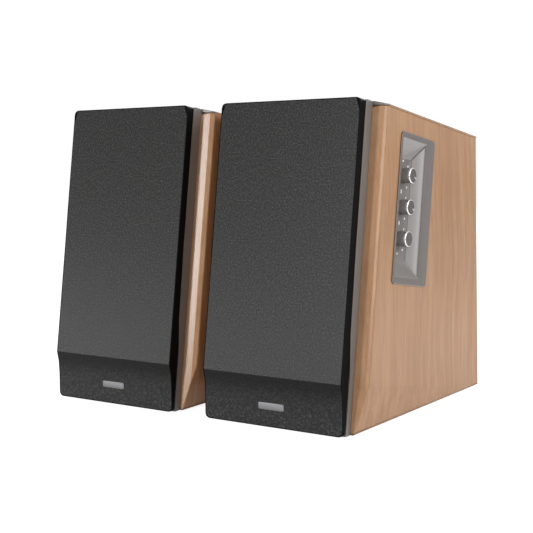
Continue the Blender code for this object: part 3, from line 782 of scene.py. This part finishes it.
def build_knob(k, name):
    body = name + "_knob"
    low, high = KNOB_X
    place = front_place("right") @ Matrix.Translation(Vector((0, *knob_place(k))) * MM)
    ring_low = high - RING_HEIGHT
    barrel = knurl(low, ring_low - RING_GAP, KNOB_RADIUS - BARREL_INSET)
    shaft = (
        (0, SHAFT_LOW_X),
        (SHAFT_RADIUS - KNOB_CHAMFER, SHAFT_LOW_X),
        (SHAFT_RADIUS, SHAFT_LOW_X + KNOB_CHAMFER),
        (SHAFT_RADIUS, low),
        (0, low),
    )
    add_to(barrel, lathe("x", shaft, ROUND_SIDES))
    made = piece(f"right_{name}_knob_barrel", barrel, place, KNOB, body, smooth=60)
    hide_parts(f"right_{name}_knob")
    shoulder = KNOB_RADIUS - FACE_RADIUS
    ring = [(FACE_RADIUS, ring_low), (KNOB_RADIUS - RING_CHAMFER, ring_low)]
    ring.append((KNOB_RADIUS, ring_low + RING_CHAMFER))
    ring += arc((FACE_RADIUS, high - shoulder), shoulder, 0, 90)
    piece(f"right_{name}_knob_ring", lathe("x", ring), place, CHROME, body)
    face = [(0, high - FACE_PROFILE[0][1])] + [(radius, high - drop) for radius, drop in FACE_PROFILE]
    piece(f"right_{name}_knob_face", lathe("x", face), place, KNOB_FACE, body)
    if name != "volume":
        length, width = POINTER_HALF
        mark = loft([
            outline_at(high + rise, POINTER_AT, (length, width - inset), POINTER_CORNER)
            for rise, inset in POINTER_LAYERS
        ])
        turned = place @ Matrix.Rotation(POINTER_CLOCK, 4, "X")
        piece(f"right_{name}_knob_pointer", mark, turned, PALE, body)


# Screws, with rings as shares of the radius and height
SCREW_SIDES = 40
SCREW_RINGS = ((1.0, 0.0), (1.0, 0.35), (0.93, 0.65), (0.78, 0.9), (0.66, 1.0))
CROSS_ARM = 0.58
CROSS_HALF = 0.13
CROSS_RINGS = ((1.0, 1.0), (0.75, 0.25))
SCREW_TURN = 0.7


def cross_radius(turn, arm, half):
    """Distance from the middle to the edge of a plus sign."""
    t = (turn + math.pi / 4) % (math.pi / 2) - math.pi / 4
    return min(arm / math.cos(t), half / max(abs(math.sin(t)), half / arm))


def screw_mesh(radius, height):
    """Pan head along +y from y = 0, with a cross recess."""
    turns = [2 * math.pi * k / SCREW_SIDES for k in range(SCREW_SIDES)]
    rings = [([radius * share] * SCREW_SIDES, height * rise) for share, rise in SCREW_RINGS]
    for share, rise in CROSS_RINGS:
        cross = [cross_radius(t, radius * CROSS_ARM, radius * CROSS_HALF) * share for t in turns]
        rings.append((cross, height * rise))
    loops = []
    for reach, y in rings:
        loops.append([(r * math.cos(t), y, r * math.sin(t)) for r, t in zip(reach, turns)])
    return loft(loops)


def build_screws(name, places, place, body, size, turn=0.0):
    """Screws of a (radius, height) at (x, y, z) places, heads along +y or, half a turn on, along -y."""
    bm = bmesh.new()
    for i, at in enumerate(places):
        head = screw_mesh(*size)
        bmesh.ops.rotate(head, verts=head.verts, matrix=Matrix.Rotation(SCREW_TURN * i, 3, "Y"))
        bmesh.ops.rotate(head, verts=head.verts, matrix=Matrix.Rotation(turn, 3, "X"))
        add_to(bm, head, at)
    piece(name, bm, place, STEEL, body, smooth=30)


# Drivers behind the grille, with profiles as (radius, w) points and screws as (radius, height)
WOOFER_U = 72.0
WOOFER_SIDES = 96
ROLL_AT = (44.0, 13.9)
ROLL_RADIUS = 5.5
ROLL_TURN = (-20, -160)
ROLL_STEPS = 12
ROLL_THICKNESS = 0.7
ROLL_FLANGE = (50.0, 57.5)
ROLL_FLANGE_W = (12.1, 12.7)
CONE_RADII = (38.1, 13.5)
CONE_W = (12.4, 31.0)
CONE_CURVE = 1.15
CONE_STEPS = 10
CONE_THICKNESS = 0.9
CAP_AT = (0.0, 41.3)
CAP_RADIUS = 19.3
CAP_TURN = (-90, -37)
CAP_THICKNESS = (0.4, 0.8)
WOOFER_SCREW = (2.2, 1.0)
WOOFER_SCREW_RING = 54.2
WOOFER_SCREW_COUNT = 4
TWEETER_U = 168.0
TWEETER_RADII = (13.0, 33.0)
TWEETER_W = (11.2, 14.2)
RIM_ROUND = 0.6
RIM_STEPS = 4
HORN_LIP = 23.0
HORN_MOUTH = (21.0, 11.9)
HORN_DEPTH = 1.5
HORN_STEPS = 8
DOME_AT = (0.0, 22.0)
DOME_RADIUS = 11.4
DOME_TURN = (-90, -34)
DOME_SKIRT = ((11.9, 15.9), (12.3, 15.3), (12.3, 20.0), (11.6, 20.0), (11.6, 16.6))
DOME_THICKNESS = 0.7
TWEETER_SCREW = (1.9, 0.5)
TWEETER_SCREW_RING = 28.2
TWEETER_SCREW_COUNT = 3


def build_woofer(side):
    place = front_place(side) @ Matrix.Translation((0, 0, WOOFER_U * MM))
    cabinet = side + "_cabinet"
    moving = side + "_woofer_diaphragm"
    roll = arc(ROLL_AT, ROLL_RADIUS, *ROLL_TURN, steps=ROLL_STEPS)
    under = [(r, w + ROLL_THICKNESS) for r, w in reversed(roll)]
    inner, outer = ROLL_FLANGE
    front, back = ROLL_FLANGE_W
    surround = [(outer, front), (inner, front)] + roll + under + [(inner, back), (outer, back)]
    surround = lathe("y", surround, WOOFER_SIDES)
    rubber = piece(side + "_woofer_roll", surround, place, RUBBER, cabinet)
    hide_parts(side + "_woofer_surround")
    (wide, narrow), (near, far) = CONE_RADII, CONE_W
    shares = [k / CONE_STEPS for k in range(CONE_STEPS + 1)]
    line = [(wide + (narrow - wide) * t, near + (far - near) * t ** CONE_CURVE) for t in shares]
    cone = line + [(r, w + CONE_THICKNESS) for r, w in reversed(line)]
    cone = lathe("y", cone, WOOFER_SIDES)
    paper = piece(side + "_woofer_paper_cone", cone, place, PAPER, moving)
    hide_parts(side + "_woofer_cone")
    dome = arc(CAP_AT, CAP_RADIUS, *CAP_TURN)
    thin, deep = CAP_THICKNESS
    cap = dome + [(max(r - thin, 0.0), w + deep) for r, w in reversed(dome)]
    dust = piece(side + "_woofer_dome_cap", lathe("y", cap), place, PAPER, moving)
    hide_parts(side + "_woofer_dust_cap")
    ring = circle(WOOFER_SCREW_RING, WOOFER_SCREW_COUNT, math.pi / 4)
    spots = [(p, front, q) for p, q in ring]
    build_screws(side + "_woofer_screws", spots, place, cabinet, WOOFER_SCREW, math.pi)


def build_tweeter(side):
    place = front_place(side) @ Matrix.Translation((0, 0, TWEETER_U * MM))
    cabinet = side + "_cabinet"
    moving = side + "_tweeter_diaphragm"
    throat, edge = TWEETER_RADII
    front, back = TWEETER_W
    mouth, start = HORN_MOUTH
    shares = [k / HORN_STEPS for k in range(HORN_STEPS + 1)]
    horn = [(mouth + (throat - mouth) * t, start + HORN_DEPTH * t ** 2) for t in shares]
    rim = arc((edge - RIM_ROUND, front + RIM_ROUND), RIM_ROUND, 0, -90, RIM_STEPS)
    plate = lathe("y", [(throat, back), (edge, back)] + rim + [(HORN_LIP, front)] + horn)
    flange = piece(side + "_tweeter_horn_plate", plate, place, BLACK, cabinet)
    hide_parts(side + "_tweeter_faceplate")
    ring = circle(TWEETER_SCREW_RING, TWEETER_SCREW_COUNT, math.pi / 2)
    spots = [(p, front, q) for p, q in ring]
    build_screws(side + "_tweeter_screws", spots, place, cabinet, TWEETER_SCREW, math.pi)
    cap = arc(DOME_AT, DOME_RADIUS, *DOME_TURN)
    dome = cap + list(DOME_SKIRT)
    dome += [(max(r - DOME_THICKNESS, 0.0), w + DOME_THICKNESS) for r, w in reversed(cap)]
    silk = piece(side + "_tweeter_silk_dome", lathe("y", dome), place, SILK, moving)
    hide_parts(side + "_tweeter_dome")


# Rear fittings, with profiles as (radius, y) points and places of screws as rows of x and of z
BACK_Y = 212.5
BACK_SCREW = (3.1, 1.3)
BACK_SCREWS = ((-60.0, 60.0), (17.0, 82.0, 147.0, 203.0))
PANEL_Y = 214.0
AMP_SCREW = (2.4, 1.1)
AMP_SCREWS = ((-43.0, 43.0), (27.0, 90.0, 153.0))
LINK_SCREW = (2.0, 1.0)
LINK_SCREWS = ((-22.5, 22.5), (65.5, 102.5))
PORT_Z = 186.0
PORT_RADIUS = 15.0
PORT_WALL = 3.0
PORT_INNER_Y = 150.0
PORT_CHAMFER = 0.6
PORT_RIM = ((25.0, 212.8), (25.0, 213.3), (24.4, 213.9))
FLARE_RADIUS = 5.0
LINK_Z = 84.0
LINK_PIN_RING = 3.3
LINK_PIN_COUNT = 6
LINK_PIN_SIDES = 16
LINK_PIN = ((0, 205.0), (0.55, 205.0), (0.55, 211.0), (0.35, 211.5), (0, 211.6))
LINK_SHELL = ((6.5, 205.0), (6.5, 213.4), (6.35, 213.6), (6.1, 213.4), (6.1, 205.0))
JACKS_Z = 122.0
JACK_PITCH = (11.0, 8.0)
JACK_SIDES = 48
JACK_SLEEVE = (
    (4.25, 214.7), (4.55, 214.7), (4.55, 221.6), (4.4, 222.0), (3.4, 222.05), (3.4, 221.9), (4.25, 221.6),
)
NUT_SIDES = 6
JACK_NUT = ((6.0, 214.6), (6.0, 215.6), (5.6, 215.9))
JACK_INSERT = ((1.7, 221.9), (3.35, 221.9), (3.3, 222.15), (2.2, 222.2), (1.7, 222.05))
INLET_AT = (-22.0, 44.0)
INLET_PIN_X = 4.3
INLET_PIN_Y = (199.0, 209.0)
INLET_PIN_RADIUS = 1.2
INLET_PIN_ROUND = 1.0
INLET_PIN_STEPS = 4
INLET_PIN_SIDES = 24
SWITCH_AT = (22.0, 44.0)
ROCKER_PIVOT_Y = 212.0
ROCKER_TILT = math.radians(24.0)
MARK_AWAY = 2.4
BAR_HALF = (0.25, 1.2)
BAR_CORNER = 0.15
BAR_LAYERS = ((-0.05, 0.0), (0.08, 0.0), (0.12, 0.05))
MARK_RING = ((0.75, -0.05), (1.2, -0.05), (1.2, 0.08), (1.15, 0.12), (0.8, 0.12), (0.75, 0.08))


def build_port(side):
    place = speaker_place(side) @ Matrix.Translation((0, 0, PORT_Z * MM))
    outside = PORT_RADIUS + PORT_WALL
    tube = [(PORT_RADIUS, PORT_INNER_Y + PORT_CHAMFER), (PORT_RADIUS + PORT_CHAMFER, PORT_INNER_Y)]
    tube += [(outside, PORT_INNER_Y), (outside, PORT_RIM[0][1]), *PORT_RIM]
    tube += arc((PORT_RADIUS + FLARE_RADIUS, PANEL_Y - FLARE_RADIUS), FLARE_RADIUS, 90, 180)
    made = piece(side + "_port_flare", lathe("y", tube), place, BLACK, side + "_cabinet")
    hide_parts(side + "_port_tube")


def screw_grid(y, rows):
    return [(x, y, z) for x in rows[0] for z in rows[1]]


def build_back_screws(side):
    spots = screw_grid(BACK_Y, BACK_SCREWS)
    build_screws(side + "_back_screws", spots, speaker_place(side), side + "_cabinet", BACK_SCREW)


def build_link_pins(side):
    """Contacts and shell of the round socket that joins the two speakers."""
    place = speaker_place(side) @ Matrix.Translation((0, 0, LINK_Z * MM))
    pins = bmesh.new()
    for p, q in circle(LINK_PIN_RING, LINK_PIN_COUNT, math.pi / 6):
        add_to(pins, lathe("y", LINK_PIN, LINK_PIN_SIDES), (p, 0, q))
    add_to(pins, lathe("y", LINK_SHELL))
    piece(side + "_link_contacts", pins, place, NICKEL, side + "_cabinet")


def build_jacks():
    place = speaker_place("right")
    across, up = JACK_PITCH
    sleeves = bmesh.new()
    nuts = bmesh.new()
    for sx in (-1, 1):
        for sz in (-1, 1):
            at = (sx * across, 0, JACKS_Z + sz * up)
            add_to(sleeves, lathe("y", JACK_SLEEVE, JACK_SIDES), at)
            hexagons = [(circle(r, NUT_SIDES, math.pi / NUT_SIDES), y) for r, y in JACK_NUT]
            add_to(nuts, loft([[(p, y, q) for p, q in hexagon] for hexagon, y in hexagons]), at)
    piece("right_jack_sleeves", sleeves, place, NICKEL, "right_cabinet")
    piece("right_jack_nuts", nuts, place, NICKEL, "right_cabinet", smooth=20)
    for name, sx, material in (("white", -1, WHITE), ("red", 1, RED)):
        rings = bmesh.new()
        for sz in (-1, 1):
            add_to(rings, lathe("y", JACK_INSERT, JACK_SIDES), (sx * across, 0, JACKS_Z + sz * up))
        piece(f"right_jack_{name}_inserts", rings, place, material, "right_cabinet")


def build_inlet_pins():
    pins = bmesh.new()
    low, high = INLET_PIN_Y
    bend = high - INLET_PIN_ROUND
    pin = [(0, low), (INLET_PIN_RADIUS, low)]
    pin += arc((INLET_PIN_RADIUS - INLET_PIN_ROUND, bend), INLET_PIN_ROUND, 0, 90, INLET_PIN_STEPS)
    pin.append((0, high))
    for sx in (-1, 1):
        at = (INLET_AT[0] + sx * INLET_PIN_X, 0, INLET_AT[1])
        add_to(pins, lathe("y", pin, INLET_PIN_SIDES), at)
    piece("right_inlet_pins", pins, speaker_place("right"), NICKEL, "right_cabinet")


def build_rocker_marks():
    """Raised on and off marks: a bar on the upper half and a ring on the lower half."""
    pivot = Vector((SWITCH_AT[0], ROCKER_PIVOT_Y, SWITCH_AT[1])) * MM
    centre = speaker_place("right") @ Matrix.Translation(pivot)
    loops = []
    for y, inset in BAR_LAYERS:
        outline = rounded_rectangle((0.0, MARK_AWAY), grown(BAR_HALF, -inset), BAR_CORNER)
        loops.append([(p, y, q) for p, q in outline])
    lifted = centre @ Matrix.Rotation(-ROCKER_TILT, 4, "X")
    piece("right_rocker_bar", loft(loops), lifted, WHITE, "power_rocker")
    lower = centre @ Matrix.Translation((0, 0, -MARK_AWAY * MM))
    piece("right_rocker_ring", lathe("y", MARK_RING, ROUND_SIDES), lower, WHITE, "power_rocker")


def build_panel_screws():
    spots = screw_grid(PANEL_Y, AMP_SCREWS)
    build_screws("right_amp_screws", spots, speaker_place("right"), "right_cabinet", AMP_SCREW)
    spots = screw_grid(PANEL_Y, LINK_SCREWS)
    build_screws("left_link_screws", spots, speaker_place("left"), "left_cabinet", LINK_SCREW)


dress_solids()
dress_edges()
for side in SIDES:
    build_cloth(side)
    build_baffle_trim(side)
    build_edge_banding(side)
    build_foot_banding(side)
    build_chin_plate(side)
    build_woofer(side)
    build_tweeter(side)
    build_port(side)
    build_back_screws(side)
    build_link_pins(side)
build_bezel()
build_dots()
for k, name in enumerate(KNOBS):
    build_knob(k, name)
build_jacks()
build_inlet_pins()
build_rocker_marks()
build_panel_screws()

# Floor, world, lamps and camera, in metres; the pool is where the floor glows most in reflections, a painted pool
# of light that no lamp casts
FLOOR_SIZE = 30.0
FLOOR_SEGMENTS = 8
FLOOR_COLOR = (0.80, 0.80, 0.80, 1)
FLOOR_GLOW = 0.86
AMBIENT = 0.20
# Painted light: the middle of the floor's painted pool, the reach over which it fades, and its brightest and plain
# glow in reflections
PAINTED_POOL_AT = (0.70, 0.05, 0.0)
PAINTED_POOL_REACH = (0.34, 0.66)
PAINTED_POOL_GLOW = (1.0, 0.36)

# Each lamp's place, target, size and power
LAMPS = {
    "strip_light": ((-0.28, -1.50, 0.50), (0.0, 0.0, 0.14), (0.12, 0.60), 9.5),
    "low_light": ((-0.985, -1.36, 0.10), (0.0, -0.1, 0.10), (1.60, 0.17), 10.0),
    "side_light": ((1.55, 0.35, 0.80), (0.1, 0.0, 0.10), (1.0, 1.0), 17.0),
    "kicker_light": ((1.015, -1.246, 0.513), (0.155, 0.0, 0.16), (0.40, 0.60), 4.8),
    "rear_light": ((-0.60, 1.90, 1.00), (0.0, 0.1, 0.14), (1.0, 1.0), 9.0),
}

# The photo's camera
CAMERA_PLACE = (0.5734, -0.8099, 0.2280)
CAMERA_YAW = math.radians(-35.09)
CAMERA_PITCH = math.radians(6.69)
CAMERA_ROLL = math.radians(1.68)
CAMERA_SENSOR = 36.0
CAMERA_LENS = 76.02


def is_seen(tree):
    """1 for what the camera, a reflection or a view through glass sees directly."""
    path = add(tree, "LightPath")
    seen = arithmetic(tree, "MAXIMUM", path.outputs["Is Camera Ray"], path.outputs["Is Glossy Ray"])
    return arithmetic(tree, "MAXIMUM", seen, path.outputs["Is Transmission Ray"])


def build_floor():
    """Pale floor, evenly bright to the camera, with a painted pool of light that shows only in reflections,
    strongest beside the right speaker.
    """
    made, tree, shader = new_material("floor", Roughness=0.6, Specular_IOR_Level=0.0)
    shader["Base Color"].default_value = FLOOR_COLOR
    shader["Emission Color"].default_value = (1, 1, 1, 1)
    path = add(tree, "LightPath").outputs
    # Painted light: seen only in reflections, the floor glows brightest in a pool to the right of the right
    # speaker
    spot = add(tree, "NewGeometry").outputs["Position"]
    away = add(tree, "VectorMath", {0: spot, 1: PAINTED_POOL_AT}, operation="DISTANCE").outputs["Value"]
    near, far = PAINTED_POOL_REACH
    bright, plain = PAINTED_POOL_GLOW
    pool = add(tree, "MapRange", {0: away, 1: near, 2: far, 3: bright, 4: plain}).outputs[0]
    glow = arithmetic(tree, "MULTIPLY", path["Is Glossy Ray"], pool)
    seen = arithmetic(tree, "MAXIMUM", path["Is Camera Ray"], path["Is Transmission Ray"])
    glow = arithmetic(tree, "MULTIPLY_ADD", seen, FLOOR_GLOW, glow)
    tree.links.new(glow, shader["Emission Strength"])
    bm = bmesh.new()
    count = FLOOR_SEGMENTS
    bmesh.ops.create_grid(bm, x_segments=count, y_segments=count, size=FLOOR_SIZE / 2)
    mesh = bpy.data.meshes.new("floor")
    bm.to_mesh(mesh)
    bm.free()
    mesh.materials.append(made)
    floor = bpy.data.objects.new("floor", mesh)
    bpy.context.scene.collection.objects.link(floor)


def build_world():
    world = bpy.data.worlds.new("studio")
    bpy.context.scene.world = world
    world.use_nodes = True
    tree = world.node_tree
    background = tree.nodes["Background"].inputs
    tree.links.new(spread(tree, is_seen(tree), AMBIENT, 1.0), background["Strength"])
    background["Color"].default_value = (1, 1, 1, 1)


def lamp(name, place, target, size, power):
    data = bpy.data.lights.new(name, "AREA")
    data.shape = "RECTANGLE"
    data.size, data.size_y = size
    data.energy = power
    made = bpy.data.objects.new(name, data)
    bpy.context.scene.collection.objects.link(made)
    made.location = place
    made.rotation_euler = (Vector(target) - Vector(place)).to_track_quat("-Z", "Y").to_euler()


def build_camera():
    data = bpy.data.cameras.new("camera")
    data.sensor_width = CAMERA_SENSOR
    data.lens = CAMERA_LENS
    ahead = Vector((
        math.sin(CAMERA_YAW) * math.cos(CAMERA_PITCH),
        math.cos(CAMERA_YAW) * math.cos(CAMERA_PITCH),
        -math.sin(CAMERA_PITCH),
    ))
    right = Vector((math.cos(CAMERA_YAW), -math.sin(CAMERA_YAW), 0.0))
    down = ahead.cross(right)
    across = math.cos(CAMERA_ROLL) * right + math.sin(CAMERA_ROLL) * down
    below = -math.sin(CAMERA_ROLL) * right + math.cos(CAMERA_ROLL) * down
    turn = Matrix((across, -below, -ahead)).transposed()
    made = bpy.data.objects.new("camera", data)
    bpy.context.scene.collection.objects.link(made)
    made.matrix_world = Matrix.Translation(CAMERA_PLACE) @ turn.to_4x4()
    bpy.context.scene.camera = made


build_floor()
build_world()
for name, settings in LAMPS.items():
    lamp(name, *settings)
build_camera()
bpy.context.scene.view_settings.view_transform = "Standard"
